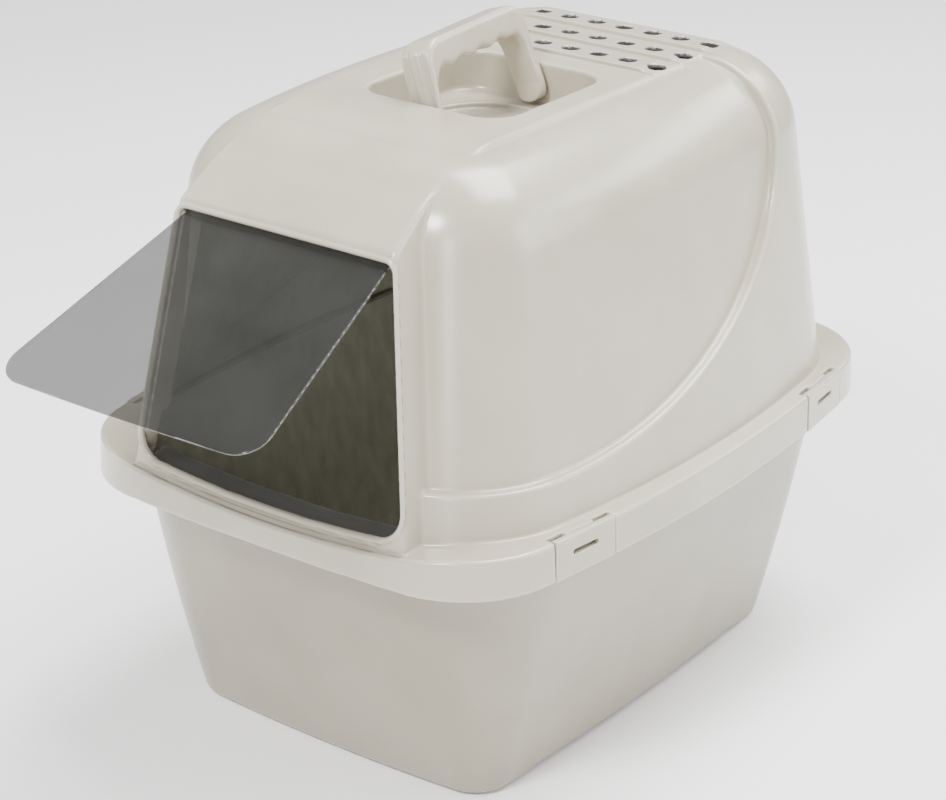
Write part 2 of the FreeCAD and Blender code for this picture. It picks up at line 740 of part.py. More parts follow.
def build_filter_cover():
    """Slotted tray that holds the filter pad up and swings down on a hinge at its front edge."""
    body = new_body("filter_cover", FreeCAD.Placement(V(0, 0, dim("cover_bottom")), FreeCAD.Rotation()))
    tray = new_sketch(body, "tray_outline", "XY_Plane")
    half = "(filter_width / 2 + cover_wall + 0.6)"
    rear = "(filter_front + filter_length + cover_wall + 0.6)"
    front = "(filter_front - cover_wall - 0.6)"
    draw_loop(tray, [(half, front), (half, rear), ("-1 * " + half, rear), ("-1 * " + half, front)])
    pad(body, tray, "tray", "filter_thick", midplane=False)

    inside = new_sketch(body, "tray_inside", "XY_Plane")
    inside.AttachmentOffset = FreeCAD.Placement(V(0, 0, dim("cover_floor")), FreeCAD.Rotation())
    half = "(filter_width / 2 + 0.6)"
    draw_loop(inside, [
        (half, "filter_front - 0.6"), (half, "filter_front + filter_length + 0.6"),
        ("-1 * " + half, "filter_front + filter_length + 0.6"), ("-1 * " + half, "filter_front - 0.6"),
    ])
    before = body.Shape.Volume
    hollow = body.newObject("PartDesign::Pocket", "tray_hollow")
    hollow.Profile = inside
    hollow.Type = 1
    hollow.Reversed = True
    doc.recompute()
    if body.Shape.Volume > before - 1000:
        raise ValueError("the tray was not hollowed")

    slots = new_sketch(body, "air_slots", "XY_Plane")
    for column in range(-3, 4):
        middle = f"{column} * 20"
        draw_loop(slots, [
            (f"{middle} - 6", "filter_front + 10"), (f"{middle} + 6", "filter_front + 10"),
            (f"{middle} + 6", "filter_front + filter_length - 10"),
            (f"{middle} - 6", "filter_front + filter_length - 10"),
        ])
    pocket_through(body, slots, "air_openings")

    reach = dim("ear_inner_x") + 3.0
    radius = dim("cover_pin_diameter") / 2
    add_pin(
        body, "hinge_bar_filter", "cover_pin_diameter", "2 * (ear_inner_x + 3)",
        (-reach, dim("cover_pin_y"), radius), (1, 0, 0),
    )
    link = new_sketch(body, "hinge_web", "XY_Plane")
    draw_loop(link, [
        ("ear_inner_x - 3", "cover_pin_y"), ("ear_inner_x - 3", "filter_front - 2"),
        ("-1 * (ear_inner_x - 3)", "filter_front - 2"), ("-1 * (ear_inner_x - 3)", "cover_pin_y"),
    ])
    pad(body, link, "hinge_web_plate", "cover_floor", midplane=False)
    return body


# ------------------------------------------------------------------- export

def main():
    pieces = [build_litter_pan(), build_hood_shell(), build_entry_door(), build_carry_handle()]
    pieces += [build_snap_latch(side, end) for side, end in CORNERS]
    pieces += [build_filter_pad(), build_filter_cover()]
    doc.recompute()

    failed = [o.Name for o in doc.Objects if {"Invalid", "Error"} & set(o.State)]
    if failed:
        raise ValueError(f"failed objects: {failed}")
    for piece in pieces:
        if piece.Shape.isNull() or not piece.Shape.isValid() or len(piece.Shape.Solids) != 1:
            raise ValueError(f"{piece.Label} is not one valid solid")

    os.makedirs("parts", exist_ok=True)
    for piece in pieces:
        piece.Shape.exportStep(os.path.join("parts", piece.Label + ".step"))
        print(piece.Label, round(piece.Shape.Volume), "mm3")


main()
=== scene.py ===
import json
import math

import bpy
import numpy as np
from mathutils import Matrix, Vector


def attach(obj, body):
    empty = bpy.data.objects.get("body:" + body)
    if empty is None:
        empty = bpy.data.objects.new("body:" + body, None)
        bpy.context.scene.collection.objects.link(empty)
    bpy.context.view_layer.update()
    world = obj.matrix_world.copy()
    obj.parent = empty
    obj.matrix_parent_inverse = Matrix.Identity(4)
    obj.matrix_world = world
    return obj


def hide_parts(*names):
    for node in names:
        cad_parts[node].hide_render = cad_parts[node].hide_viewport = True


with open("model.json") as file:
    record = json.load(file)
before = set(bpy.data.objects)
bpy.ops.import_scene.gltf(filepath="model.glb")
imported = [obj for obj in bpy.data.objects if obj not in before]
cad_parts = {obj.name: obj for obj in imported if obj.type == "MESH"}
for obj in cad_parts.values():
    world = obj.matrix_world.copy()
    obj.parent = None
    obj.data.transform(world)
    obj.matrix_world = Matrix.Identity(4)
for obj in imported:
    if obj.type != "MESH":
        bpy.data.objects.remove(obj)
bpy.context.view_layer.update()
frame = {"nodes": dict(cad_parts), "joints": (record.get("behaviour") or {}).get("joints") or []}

MM = 0.001
TINY = 1e-9
BLOCKS_AT_ONCE = 2000
SURFACE_PASSES = 3
NORMAL_REACH = 0.35


# ------------------------------------------------------------------ surfaces
# Each shape is a function of x, y, z in millimetres, negative inside and close
# to the distance from its surface. Shapes are joined and cut with rounded edges.

def union(a, b, radius=0.0):
    """Both shapes, with a concave fillet where they meet."""
    if radius <= 0:
        return np.minimum(a, b)
    u = np.maximum(radius - a, 0)
    v = np.maximum(radius - b, 0)
    return np.maximum(radius, np.minimum(a, b)) - np.sqrt(u * u + v * v)


def meet(a, b, radius=0.0):
    """What lies in both shapes, with a rounded edge where they cross."""
    return -union(-a, -b, radius)


def cut(a, b, radius=0.0):
    """a without b, with a rounded edge."""
    return -union(-a, b, radius)


def plate(*pairs, radius=0.0):
    """Box given by (coordinate, low, high) for each axis that bounds it."""
    result = None
    for value, low, high in pairs:
        slab = np.maximum(low - value, value - high)
        result = slab if result is None else meet(result, slab, radius)
    return result


HOOD_BOW = math.radians(9.0), math.radians(3.8)
TUB_BOW = math.radians(4.2), math.radians(4.2)


def outline(x, y, half_width, half_length, corner, centre_y=0.0, bow=HOOD_BOW):
    """Distance to a rounded rectangle whose sides and ends bow outwards."""
    cs, ss = math.cos(bow[0]), math.sin(bow[0])
    ce, se = math.cos(bow[1]), math.sin(bow[1])
    wide = half_width - corner * (cs - se)
    long = half_length + corner * (ss - ce)
    det = (1 - cs) * (1 - ce) - se * ss
    side_r = (wide * (1 - ce) - se * long) / det
    end_r = ((1 - cs) * long - ss * wide) / det
    px, py = np.abs(x), np.abs(y - centre_y)
    side_x, end_y = half_width - side_r, half_length - end_r
    corner_x, corner_y = side_x + (side_r - corner) * cs, (side_r - corner) * ss
    dx, dy = px - corner_x, py - corner_y
    on_side = dy * cs - dx * ss < 0
    on_end = dx * ce - dy * se < 0
    d = np.hypot(dx, dy) - corner
    d = np.where(on_end, np.hypot(px, py - end_y) - end_r, d)
    return np.where(on_side & ~on_end, np.hypot(px - side_x, py) - side_r, d)


def grid_values(shape, low, high, step):
    """A shape's values on a grid: worked out point by point only in the blocks near its surface."""
    block = 8
    counts = np.ceil((high - low) / (step * block)).astype(int)
    dense = np.zeros(tuple(counts * block), np.float32)
    view = dense.reshape(counts[0], block, counts[1], block, counts[2], block)
    middles = [low[i] + (np.arange(counts[i]) + 0.5) * block * step for i in range(3)]
    bx, by, bz = np.meshgrid(*middles, indexing="ij")
    coarse = shape(bx, by, bz)
    view[:] = coarse[:, None, :, None, :, None]
    near = np.argwhere(np.abs(coarse) < block * step * 1.15)
    offsets = np.arange(block) * step
    ox, oy, oz = np.meshgrid(offsets, offsets, offsets, indexing="ij")
    for start in range(0, len(near), BLOCKS_AT_ONCE):
        some = near[start:start + BLOCKS_AT_ONCE]
        corner = low + some * block * step
        x = corner[:, 0, None, None, None] + ox
        y = corner[:, 1, None, None, None] + oy
        z = corner[:, 2, None, None, None] + oz
        view[some[:, 0], :, some[:, 1], :, some[:, 2], :] = shape(x, y, z).astype(np.float32)
    return dense


def crossed_cells(inside):
    """Grid cells that the surface passes through."""
    cells = np.zeros(tuple(n - 1 for n in inside.shape), np.int8)
    nx, ny, nz = cells.shape
    for i, j, k in ((i, j, k) for i in (0, 1) for j in (0, 1) for k in (0, 1)):
        cells += inside[i:i + nx, j:j + ny, k:k + nz]
    return np.argwhere((cells > 0) & (cells < 8))


def mean_crossings(dense, active):
    """Where the surface crosses each cell's edges, averaged, in cells from the cell's corner."""
    total = np.zeros((len(active), 3))
    hits = np.zeros(len(active))
    for axis in range(3):
        for a in (0, 1):
            for b in (0, 1):
                start = [0, 0, 0]
                start[(axis + 1) % 3], start[(axis + 2) % 3] = a, b
                end = list(start)
                end[axis] = 1
                v0 = dense[tuple((active + start).T)]
                v1 = dense[tuple((active + end).T)]
                crosses = (v0 < 0) != (v1 < 0)
                share = np.where(crosses, v0 / np.where(crosses, v0 - v1, 1), 0)
                point = np.tile(np.array(start, float), (len(active), 1))
                point[:, axis] = share
                total += point * crosses[:, None]
                hits += crosses
    return total / hits[:, None]


def crossing_faces(inside, active):
    """One quad round each grid edge that the surface crosses, from the cells beside it."""
    number = np.full(tuple(n - 1 for n in inside.shape), -1, np.int32)
    number[tuple(active.T)] = np.arange(len(active))
    faces = []
    for axis in range(3):
        p, q = (axis + 1) % 3, (axis + 2) % 3
        here = [slice(0, -1)] * 3
        there = [slice(0, -1)] * 3
        there[axis] = slice(1, None)
        first, second = inside[tuple(here)], inside[tuple(there)]
        edges = np.argwhere(first != second)
        edges = edges[(edges[:, p] > 0) & (edges[:, q] > 0)]
        loop = []
        for a, b in ((0, 0), (1, 0), (1, 1), (0, 1)):
            cell = edges.copy()
            cell[:, p] -= a
            cell[:, q] -= b
            loop.append(number[tuple(cell.T)])
        quads = np.stack(loop, axis=1)
        flip = ~first[tuple(edges.T)]
        quads[flip] = quads[flip][:, ::-1]
        faces.append(quads)
    faces = np.concatenate(faces)
    return faces[(faces >= 0).all(axis=1)]


def drawn_to_surface(shape, points, step):
    """Points moved onto the surface, by half a grid step at most each time."""
    for _ in range(SURFACE_PASSES):
        value, slope = value_and_slope(shape, points)
        move = value[:, None] * slope / np.maximum((slope * slope).sum(1), 0.25)[:, None]
        length = np.linalg.norm(move, axis=1, keepdims=True)
        points = points - move * np.minimum(1, 0.5 * step / np.maximum(length, TINY))
    return points


def mesh_of(name, shape, low, high, step, frame_matrix=None):
    """Mesh of a shape: one vertex in each grid cell that its surface passes through."""
    low, high = np.array(low, float), np.array(high, float)
    dense = grid_values(shape, low, high, step)
    inside = dense < 0
    active = crossed_cells(inside)
    faces = crossing_faces(inside, active)
    points = low + (active + mean_crossings(dense, active)) * step
    points = drawn_to_surface(shape, points, step)

    mesh = bpy.data.meshes.new(name)
    mesh.vertices.add(len(points))
    mesh.vertices.foreach_set("co", (points * MM).astype(np.float32).ravel())
    mesh.loops.add(len(faces) * 4)
    mesh.loops.foreach_set("vertex_index", faces.astype(np.int32).ravel())
    mesh.polygons.add(len(faces))
    mesh.polygons.foreach_set("loop_start", np.arange(0, len(faces) * 4, 4, dtype=np.int32))
    mesh.update(calc_edges=True)
    mesh.validate()
    mesh.shade_smooth()
    _, slope = value_and_slope(shape, points, NORMAL_REACH)
    slope /= np.maximum(np.linalg.norm(slope, axis=1, keepdims=True), TINY)
    if len(mesh.vertices) == len(points):
        mesh.normals_split_custom_set_from_vertices(slope.astype(np.float32))
    obj = bpy.data.objects.new(name, mesh)
    bpy.context.scene.collection.objects.link(obj)
    if frame_matrix is not None:
        mesh.transform(frame_matrix)
    return obj


def value_and_slope(shape, points, reach=0.15):
    """A shape's value and gradient at points, from its values a short way to each side."""
    x, y, z = points.T
    slope = np.stack([
        shape(x + reach, y, z) - shape(x - reach, y, z),
        shape(x, y + reach, z) - shape(x, y - reach, z),
        shape(x, y, z + reach) - shape(x, y, z - reach),
    ], axis=1) / (2 * reach)
    return shape(x, y, z), slope


# ---------------------------------------------------------------- dimensions
# Millimetres, the same as the frame's. A size of three is half width, half length
# and corner radius.

WALL = 3.4
SHELF, SKIRT_LOW, TOP = 205.0, 178.0, 425.0
SKIRT_SIZE, SKIRT_FLARE = (194.5, 246.0, 72.0), 0.9
RIM_DIP, RIM_DIP_HALF = 9.0, 145.0

FOOT_SIZE, HEAD_SIZE, HEAD_SHIFT = (181.0, 227.0, 88.0), (146.0, 200.5, 72.0), 10.5
TOP_ROUND = 48.0
PANEL_INSET, PANEL_DROP = 7.0, 3.0
LINE_LOW, LINE_REAR, LINE_FRONT, LINE_TOP = 234.0, 133.0, -144.0, 390.0

BAY_FOOT_FRONT, BAY_FOOT_HALF = -236.0, 113.0
BAY_LEAN_DEG = 8.3
BAY_TILT, BAY_SLOPE = math.tan(math.radians(BAY_LEAN_DEG)), math.tan(math.radians(8.2))
BAY_HEADER, BAY_ROOF_TOP, BAY_ROOF_REAR, BAY_END = 383.0, 420.0, -156.0, 140.0
BAY_ROUND, BAY_ROOF_ROUND = 3.5, 26.0

DOOR_SILL, DOOR_TOP, DOOR_SILL_HALF, DOOR_TOP_HALF = 209.5, 377.6, 110.5, 86.5
DOOR_SILL_ROUND, DOOR_TOP_ROUND = 19.0, 6.0
DOOR_LEAN = math.atan2(DOOR_SILL_HALF - DOOR_TOP_HALF, DOOR_TOP - DOOR_SILL)
SILL_SAG, SILL_HALF = 7.0, 110.0
LEDGE_FRONT, LEDGE_REAR, LEDGE_HALF, LEDGE_THICK = -234.0, -216.0, 104.0, 4.2

RECESS_X, RECESS_FRONT, RECESS_REAR, RECESS_CORNER = 59.0, -68.0, 53.5, 22.0
RECESS_DEPTH, DISH_DEPTH, DISH_RADIUS = 28.0, 31.5, 45.0

VENT_X, VENT_ROWS, VENT_PITCH = 92.0, (92.1, 124.8, 157.5), 23.6
VENT_SHIFT_X, VENT_SHIFT_Y, VENT_RADIUS = 1.5, -0.8, 6.2
BAR_AHEAD, BAR_DEPTH, BAR_WIDENING, BAR_FADE = 15.0, 29.0, 4.0, 22.0
VENT_LOW = 400.0                            # nothing of the vent reaches below this height

LATCH_HALF, LATCH_REACH, LATCH_GAP = 27.0, 5.6, 0.6

PAN_FLOOR_SIZE, PAN_LIP_SIZE, PAN_RIM_SIZE = (134.0, 179.5, 27.0), (176.0, 221.5, 78.0), (190.0, 241.5, 68.0)
PAN_TOP, PAN_RIM_DROP = 201.8, 14.0
PAN_BELLY, PAN_FOOT_HEIGHT, PAN_FLOOR_ROUND = 2.2, 2.6, 6.0

FLAP_TOP_HALF, FLAP_LOW_HALF, FLAP_LENGTH, FLAP_ROUND = 82.0, 106.0, 168.0, 22.0
FLAP_OPEN_DEG = 58.5
HANDLE_TILT = math.radians(18.0)
HANDLE_FRONT, HANDLE_REAR, HANDLE_RISE, HANDLE_HALF = -66.8, 51.8, 51.0, 12.6


def joint_of(body):
    """The joint that moves a body of the frame."""
    return [j for j in frame["joints"] if j["child"] == body][0]


def dip(x, y, level):
    """Height of the front rim, which sags between the bay's sides."""
    radius = (RIM_DIP_HALF ** 2 + RIM_DIP ** 2) / (2 * RIM_DIP)
    sag = radius - np.sqrt(np.maximum(radius ** 2 - x ** 2, 1.0))
    drop = np.where((np.abs(x) < RIM_DIP_HALF), RIM_DIP - sag, 0.0)
    share = np.clip((-150.0 - y) / 40.0, 0, 1)
    return level - drop * share * share * (3 - 2 * share)


# ---------------------------------------------------------------------- hood

def hood_body(x, y, z, inset):
    """Tapered body with a rounded top edge."""
    share = (z - SHELF) / (TOP - SHELF)
    size = [foot + (head - foot) * share - inset for foot, head in zip(FOOT_SIZE, HEAD_SIZE)]
    wall = outline(x, y, *size, HEAD_SHIFT * share)
    return meet(wall * 0.985, z - TOP + (PANEL_DROP if inset else 0.0), TOP_ROUND)


def rear_region(y, z):
    """Negative behind and below the curved line that bounds a side's inset panel."""
    a, b = LINE_REAR - LINE_FRONT, LINE_TOP - LINE_LOW
    u, v = np.maximum(y - LINE_FRONT, 0) / a, np.maximum(LINE_TOP - z, 0) / b
    k0 = np.hypot(u, v)
    k1 = np.maximum(np.hypot(u / a, v / b), 1e-6)
    return -np.where(k0 > 1e-3, k0 * (k0 - 1) / k1, -b)


def bay_front(z):
    return BAY_FOOT_FRONT + (z - SHELF) * BAY_TILT


def bay_half(z):
    return BAY_FOOT_HALF - (z - SHELF) * BAY_SLOPE


def entry_bay(x, y, z):
    """Bay round the doorway; its roof runs on along the top as a low raised band."""
    face = (bay_front(z) - y) * 0.99
    side = (np.abs(x) - bay_half(z)) * 0.99
    header_y = bay_front(BAY_HEADER)
    rise, run = BAY_ROOF_TOP - BAY_HEADER, BAY_ROOF_REAR - header_y
    roof = ((z - BAY_HEADER) * run - (y - header_y) * rise) / math.hypot(rise, run)
    roof = meet(roof, z - TOP, BAY_ROOF_ROUND)
    body = meet(meet(face, roof, BAY_ROUND), side, BAY_ROUND)
    return meet(body, y - BAY_END)


def recess(x, y, z):
    """Handle recess: a rounded pocket with a round dish in its floor."""
    middle = (RECESS_FRONT + RECESS_REAR) / 2
    half = (RECESS_REAR - RECESS_FRONT) / 2
    dx = np.abs(x) - (RECESS_X - RECESS_CORNER)
    dy = np.abs(y - middle) - (half - RECESS_CORNER)
    flat = np.hypot(np.maximum(dx, 0), np.maximum(dy, 0)) + np.minimum(np.maximum(dx, dy), 0) - RECESS_CORNER
    floor = TOP - RECESS_DEPTH
    pocket = meet(flat, floor - z, 4.0)
    dish = meet(np.hypot(x, y - middle) - DISH_RADIUS - (z - floor) * 0.06, TOP - DISH_DEPTH - z, 1.5)
    return union(pocket, dish, 0.8)


def skirt(x, y, z):
    """Skirt that hangs from the shelf and flares a little downwards."""
    half_width, half_length, corner = SKIRT_SIZE
    flare = SKIRT_FLARE * (z - SKIRT_LOW) / (SHELF - SKIRT_LOW)
    return meet(outline(x, y, half_width - flare, half_length - flare, corner), z - dip(x, y, SHELF), 2.6)


def doorway(x, z, grow):
    """Distance in the front view from the opening, whose sill sags."""
    level = DOOR_SILL - 1.0 - SILL_SAG * np.maximum(1 - (x / SILL_HALF) ** 2, 0)
    side = (np.abs(x) - DOOR_SILL_HALF + (z - DOOR_SILL) * math.tan(DOOR_LEAN)) * math.cos(DOOR_LEAN) - grow
    lower = meet(side, level - z - grow, DOOR_SILL_ROUND + grow)
    return meet(lower, z - DOOR_TOP - grow, DOOR_TOP_ROUND + grow)


def bar_reach(row):
    """Front edge and half width of one bar of the vent."""
    return VENT_ROWS[row] - BAR_AHEAD, VENT_X + BAR_WIDENING * row - 4.0


def vent_bar(x, y, z, row):
    """One raised bar of the vent: level along its rear edge, with a step at its front edge."""
    front, half = bar_reach(row)
    back = (y - front) / BAR_DEPTH
    fade = np.clip((half - np.abs(x)) / BAR_FADE, 0, 1)
    body = plate((x, -half, half), (y, front, front + BAR_DEPTH), radius=3.0)
    return meet(body, z - (TOP - 4.0 + (5.9 - 1.7 * back) * fade), 0.9)


def vent_relief(x, y, z, row):
    """Groove in front of a bar."""
    front, half = bar_reach(row)
    half -= 6.0
    return plate((x, -half, half), (y, front - 3.2, front - 0.2), (z, TOP - 1.0, TOP + 9.0), radius=0.5)


VENT_HOLES = [
    (column * VENT_PITCH + VENT_SHIFT_X, middle + VENT_SHIFT_Y)
    for middle in VENT_ROWS for column in range(-3, 4)
]


def latch_body(node):
    """Name of the body that a latch's node belongs to."""
    return "latch_" + node[len("snap_latch_"):]


def latch_frame(side, end):
    """Matrix of a latch: origin on the skirt's outer face, local X outwards."""
    node = f"snap_latch_{'front' if end < 0 else 'rear'}_{'right' if side > 0 else 'left'}"
    joint = joint_of(latch_body(node))
    across = -Vector(joint["axis"])
    out = across.cross(Vector((0, 0, 1)))
    place = Vector(joint["pos_m"]) + out * LATCH_REACH * MM
    place.z = 0
    matrix = Matrix.Identity(4)
    for row in range(3):
        matrix[row][0], matrix[row][1], matrix[row][2] = out[row], across[row], (0, 0, 1)[row]
        matrix[row][3] = place[row]
    return node, matrix


LATCHES = [latch_frame(side, end) for side in (1, -1) for end in (-1, 1)]


def latch_openings(x, y, z):
    """The four windows in shelf and skirt that the latches fill."""
    result = None
    for _, matrix in LATCHES:
        m = np.array(matrix)
        px, py = x - m[0, 3] / MM, y - m[1, 3] / MM
        out = px * m[0, 0] + py * m[1, 0]
        across = px * m[0, 1] + py * m[1, 1]
        window = plate(
            (out, -LATCH_REACH - LATCH_GAP, 20.0),
            (across, -LATCH_HALF - LATCH_GAP, LATCH_HALF + LATCH_GAP), (z, SKIRT_LOW - 8.0, SHELF + 7.0),
        )
        for end in (-1, 1):
            ends = across * end, 13.0, LATCH_HALF + 1.0
            slot = plate((out, -9.4, 0.0), ends, (z, SHELF - 10.0, SHELF + 7.0), radius=0.5)
            slot = np.maximum(slot, out + LATCH_REACH)
            window = np.minimum(window, slot)
        result = window if result is None else np.minimum(result, window)
    return result


def hood_solid(x, y, z):
    """The hood as if it were filled, running on down below its open base."""
    inset = hood_body(x, y, z, PANEL_INSET)
    proud = meet(hood_body(x, y, z, 0.0), rear_region(y, z), 2.2)
    body = union(inset, proud, 2.0)
    body = union(body, entry_bay(x, y, z), 1.6)
    body = cut(body, recess(x, y, z), 2.2)
    return union(body, skirt(x, y, z), 2.0)


def hood_wall(x, y, z):
    """The hood's shell with its vent bars, before any opening is cut."""
    solid = hood_solid(x, y, z)
    outer = solid
    for row in range(len(VENT_ROWS)):
        outer = union(outer, vent_bar(x, y, z, row), 0.5)
    # the wall is thicker at the top front, where the bay's roof runs into the body's
    thick = WALL + 1.8 * np.clip((z - 375.0) / 10.0, 0, 1) * np.clip((-90.0 - y) / 10.0, 0, 1)
    return cut(meet(outer, SKIRT_LOW - z, 1.0), solid + thick, 0.9)


def with_doorway(shell, x, y, z):
    """The shell with the doorway, its rolled lip and the broad ledge inside its sill."""
    hole = doorway(x, z, 0.0)
    depth = y - bay_front(z)
    lip = np.hypot(hole - 1.3, depth - 0.6) - 1.7
    shell = union(shell, lip, 0.6)
    shell = cut(shell, np.maximum(hole + 0.9, depth - WALL - 1.0), 0.8)
    ledge_z = DOOR_SILL - 3.5 - SILL_SAG * np.maximum(1 - (x / SILL_HALF) ** 2, 0) + 0.22 * depth
    width = x, -LEDGE_HALF, LEDGE_HALF
    ledge = plate(width, (y, LEDGE_FRONT, LEDGE_REAR), (z - ledge_z, -LEDGE_THICK, 0.0), radius=1.0)
    return union(shell, ledge, 1.5)


def with_rim_ridge(shell, x, y, z):
    """The shell with the ridge and the groove on its rim, under the doorway."""
    rim = dip(x, y, SHELF)
    front = outline(x, y, *SKIRT_SIZE)
    ridge = np.hypot(front + 7.0, z - rim) - 1.3
    groove = np.hypot(front + 4.6, z - rim - 0.4) - 1.2
    on_rim = (y < -200.0) & (np.abs(x) < 112.0)
    return np.where(on_rim, cut(union(shell, ridge, 0.5), groove, 0.4), shell)


def with_vent(shell, x, y, z):
    """The shell with the vent's grooves and holes."""
    for row in range(len(VENT_ROWS)):
        shell = np.where(z > VENT_LOW, cut(shell, vent_relief(x, y, z, row), 0.4), shell)
    for hole_x, hole_y in VENT_HOLES:
        hole = np.hypot(x - hole_x, y - hole_y) - VENT_RADIUS
        shell = np.where(z > VENT_LOW, cut(shell, hole, 0.7), shell)
    return shell


def hood_shell(x, y, z):
    """One-piece hood."""
    shell = with_doorway(hood_wall(x, y, z), x, y, z)
    shell = with_rim_ridge(shell, x, y, z)
    shell = with_vent(shell, x, y, z)
    return cut(shell, latch_openings(x, y, z), 0.4)


# --------------------------------------------------------------------- pieces

def tub_wall(x, y, z, offset):
    """Tapered wall of the tub, with a slight belly half way up."""
    share = z / PAN_TOP
    belly = PAN_BELLY * np.clip(share * (1 - share), 0, 1) * 4 - offset
    half_width, half_length, corner = [
        low + (high - low) * share for low, high in zip(PAN_FLOOR_SIZE, PAN_LIP_SIZE)
    ]
    return outline(x, y, half_width + belly, half_length + belly, corner, bow=TUB_BOW) * 0.98


def litter_pan(x, y, z):
    """Tapered tub with a turned-out rim; its base is raised a little between the corner feet."""
    foot = PAN_FOOT_HEIGHT * np.clip((124.0 - np.abs(y)) / 4.0, 0, 1) * (np.abs(x) > 60.0)
    tub = meet(tub_wall(x, y, z, 0.0), foot - z, PAN_FLOOR_ROUND)
    hollow = meet(tub_wall(x, y, z, WALL), WALL + 2.0 - z, PAN_FLOOR_ROUND)
    rim_top = dip(x, y, PAN_TOP)
    rim = meet(outline(x, y, *PAN_RIM_SIZE), z - rim_top, 2.0)
    lip = meet(cut(rim, rim + WALL, 0.8), rim_top - PAN_RIM_DROP - z, 0.8)
    body = union(meet(tub, z - rim_top, 0.8), lip, 1.5)
    return cut(body, hollow, 1.2)


def entry_door(x, y, z):
    """Flap in its own frame: it hangs down from the hinge bar along X."""
    lean = math.atan2(FLAP_LOW_HALF - FLAP_TOP_HALF, FLAP_LENGTH)
    side = (np.abs(x) - FLAP_TOP_HALF + z * math.tan(lean)) * math.cos(lean)
    bow = 1.5 * (1 - (x / FLAP_LOW_HALF) ** 2)
    flat = meet(meet(side, -FLAP_LENGTH - bow - z, FLAP_ROUND), z - 0.5)
    sheet = meet(flat, np.abs(y) - 0.9, 0.7)
    bar = meet(np.hypot(y, z) - 2.0, np.abs(x) - FLAP_TOP_HALF - 5.0, 0.6)
    return union(sheet, bar, 1.2)


def carry_handle(x, y, z):
    """Bail handle in its own frame: grip along Y, legs down to the pivot."""
    front, rear = HANDLE_FRONT, HANDLE_REAR
    top = HANDLE_RISE + 0.05 * (y - front)
    lean = 0.16 * np.clip(z, 0, 60)
    outside = meet(meet(front + 0.3 * lean - y, y - rear + lean, 2.0), z - top, 15.0)
    wave = 1.2 * np.cos((y + 8.0) * 2 * math.pi / 21.0)
    inside = meet(
        meet(front + 7.5 + 0.3 * lean - y, y - rear + 11.5 + lean, 2.0), z - top + 20.0 - wave, 11.0)
    bail = cut(outside, inside, 4.0)
    # wider towards the grip, narrower at the rear
    width = HANDLE_HALF + 1.4 * np.clip((z - 22.0) / 20.0, 0, 1) - 1.6 * np.clip((y + 10.0) / 30.0, 0, 1)
    bar = meet(bail, np.abs(x) - width, 5.5)
    foot = np.where(z < 0, np.hypot(x, z), np.abs(x)) - HANDLE_HALF
    bar = meet(bar, foot, 2.0)
    # front leg: a sunk channel between two edge ribs, with a rounded bulge along it
    channel = plate((x, -10.2, 10.2), (y, front - 6.0, front + 4.0), (z, -30.0, 47.0), radius=2.4)
    bar = cut(bar, channel, 0.8)
    bulge = meet(np.hypot(x, y - front - 8.0) - 6.6, np.maximum(-8.0 - z, z - 46.0), 3.0)
    bar = union(bar, bulge, 0.8)
    pin = np.hypot(x, z) - 2.5
    pins = meet(pin, np.maximum(front - 4.5 - y, y - front - 4.0), 0.4)
    pins = np.minimum(pins, meet(pin, np.maximum(rear - 4.0 - y, y - rear - 4.5), 0.4))
    return union(bar, pins, 0.8)


def snap_latch(x, y, z):
    """Latch tab in its own frame, X outwards: a slotted leaf that closes the skirt, hung from the shelf."""
    face = x + SKIRT_FLARE * (z - SKIRT_LOW) / (SHELF - SKIRT_LOW)
    leaf = meet(meet(face, -WALL - face, 0.3), z - SHELF, 1.4)
    tab = meet(meet(-LATCH_REACH - x, face, 1.2), np.maximum(z - SHELF, SHELF - WALL - z), 0.5)
    body = union(leaf, tab, 1.0)
    body = meet(body, SKIRT_LOW - z, 0.6)
    body = meet(body, np.abs(y) - LATCH_HALF, 0.6)
    slot = plate((y, -11.5, 11.5), (z, SHELF - 13.2, SHELF - 9.8), radius=1.2)
    return cut(body, np.maximum(slot, -8.0 - x), 0.6)


# ------------------------------------------------------------------- assembly

hood = mesh_of("hood", hood_shell, (-204, -256, 170), (204, 256, 436), 1.65)
pan = mesh_of("pan", litter_pan, (-200, -252, -6), (200, 252, 210), 1.7)

swing = Matrix.Translation(joint_of("door")["pos_m"])
swing @= Matrix.Rotation(-math.radians(BAY_LEAN_DEG + FLAP_OPEN_DEG), 4, "X")
door = mesh_of("door", entry_door, (-114, -6, -176), (114, 6, 6), 0.9, swing)
lift = Matrix.Translation(joint_of("handle")["pos_m"]) @ Matrix.Rotation(-HANDLE_TILT, 4, "Y")
handle = mesh_of("handle", carry_handle, (-22, -78, -18), (22, 60, 58), 0.9, lift)
latches = [
    mesh_of(node + "_tab", snap_latch, (-9, -30, 174), (4, 30, 208), 0.8, matrix)
    for node, matrix in LATCHES
]


# ------------------------------------------------------------------ materials

def new_material(name):
    """A material, its node tree and its main shader."""
    material = bpy.data.materials.new(name)
    material.use_nodes = True
    tree = material.node_tree
    shader = tree.nodes["Principled BSDF"]
    return material, tree, shader


def noise(tree, scale, detail=4.0, stretch=(1, 1, 1)):
    """Noise over the object's own coordinates."""
    coords = tree.nodes.new("ShaderNodeTexCoord")
    mapping = tree.nodes.new("ShaderNodeMapping")
    mapping.inputs["Scale"].default_value = stretch
    texture = tree.nodes.new("ShaderNodeTexNoise")
    texture.inputs["Scale"].default_value = scale
    texture.inputs["Detail"].default_value = detail
    tree.links.new(coords.outputs["Object"], mapping.inputs["Vector"])
    tree.links.new(mapping.outputs["Vector"], texture.inputs["Vector"])
    return texture.outputs["Fac"]


